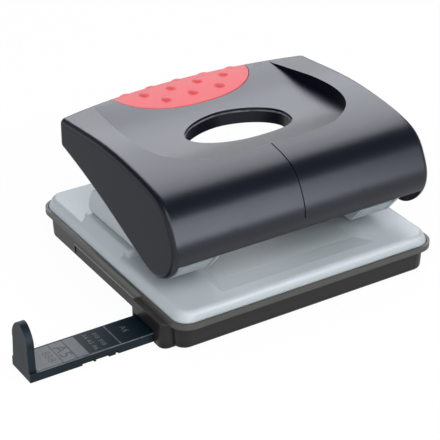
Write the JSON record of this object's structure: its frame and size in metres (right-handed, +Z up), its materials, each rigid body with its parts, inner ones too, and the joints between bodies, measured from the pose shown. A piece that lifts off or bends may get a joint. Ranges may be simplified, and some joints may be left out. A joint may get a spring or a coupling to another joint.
{
  "type": "two-hole punch",
  "caption": "Desk punch for two holes: a lever handle with a window and a soft grip over a pressed steel base on a chip tray, with a sliding paper guide.",
  "frame": {"origin": "on the desk, midway between the two holes and about the middle of the tray's depth", "axes": "+Z up, +X along the line of the holes, away from the paper guide; paper goes in along +Y"},
  "size_m": [0.1658, 0.108, 0.0602],
  "materials": {
    "tray_plastic": "smoky dark plastic, satin",
    "base_paint": "light grey enamel, satin",
    "handle_plastic": "black, semi-gloss",
    "grip_rubber": "soft coral red, satin",
    "guide_plastic": "dark blue-black, satin",
    "label_face": "light grey, satin",
    "steel": "zinc plated",
    "hard_steel": "ground and hardened",
    "spring_steel": "drawn wire",
    "lever_steel": "pressed and zinc plated"
  },
  "bodies": {
    "tray": {"chip_tray": "tray_plastic"},
    "guide": {"guide_bar": "guide_plastic", "guide_label": "label_face"},
    "base": {"base_plate": "base_paint", "left_bracket": "base_paint", "right_bracket": "base_paint", "left_bracket_rivets": "steel", "right_bracket_rivets": "steel", "left_return_spring": "spring_steel", "right_return_spring": "spring_steel"},
    "handle": {"handle_shell": "handle_plastic", "grip_pad": "grip_rubber", "handle_screws": "steel", "left_lever": "lever_steel", "right_lever": "lever_steel", "left_pivot_pin": "steel", "right_pivot_pin": "steel", "left_pivot_clip": "spring_steel", "right_pivot_clip": "spring_steel"},
    "left_punch": {"left_punch_pin": "hard_steel", "left_spring_washer": "steel", "left_retaining_clip": "spring_steel"},
    "right_punch": {"right_punch_pin": "hard_steel", "right_spring_washer": "steel", "right_retaining_clip": "spring_steel"}
  },
  "joints": [
    {"name": "base_lift", "type": "slide", "parent": "tray", "child": "base", "axis": [0, 0, 1], "range_m": [0, 0.012]},
    {"name": "guide_slide", "type": "slide", "parent": "tray", "child": "guide", "axis": [-1, 0, 0], "range_m": [-0.0448, 0.0433]},
    {"name": "handle_press", "type": "hinge", "parent": "base", "child": "handle", "pos_m": [0, -0.0385, 0.0345], "axis": [-1, 0, 0], "range_deg": [0, 20], "stiffness_Nm_per_rad": 0.5, "springref_deg": -18.33},
    {"name": "left_punch_stroke", "type": "slide", "parent": "base", "child": "left_punch", "axis": [0, 0, -1], "range_m": [0, 0.007], "stiffness_N_per_m": 4, "springref_m": -0.0115, "deforming": ["left_return_spring"]},
    {"name": "right_punch_stroke", "type": "slide", "parent": "base", "child": "right_punch", "axis": [0, 0, -1], "range_m": [0, 0.007], "stiffness_N_per_m": 4, "springref_m": -0.0115, "deforming": ["right_return_spring"]}
  ],
  "couplings": [
    {"joint": "left_punch_stroke", "follows": "handle_press", "m_per_rad": 0.02},
    {"joint": "right_punch_stroke", "follows": "handle_press", "m_per_rad": 0.02}
  ]
}
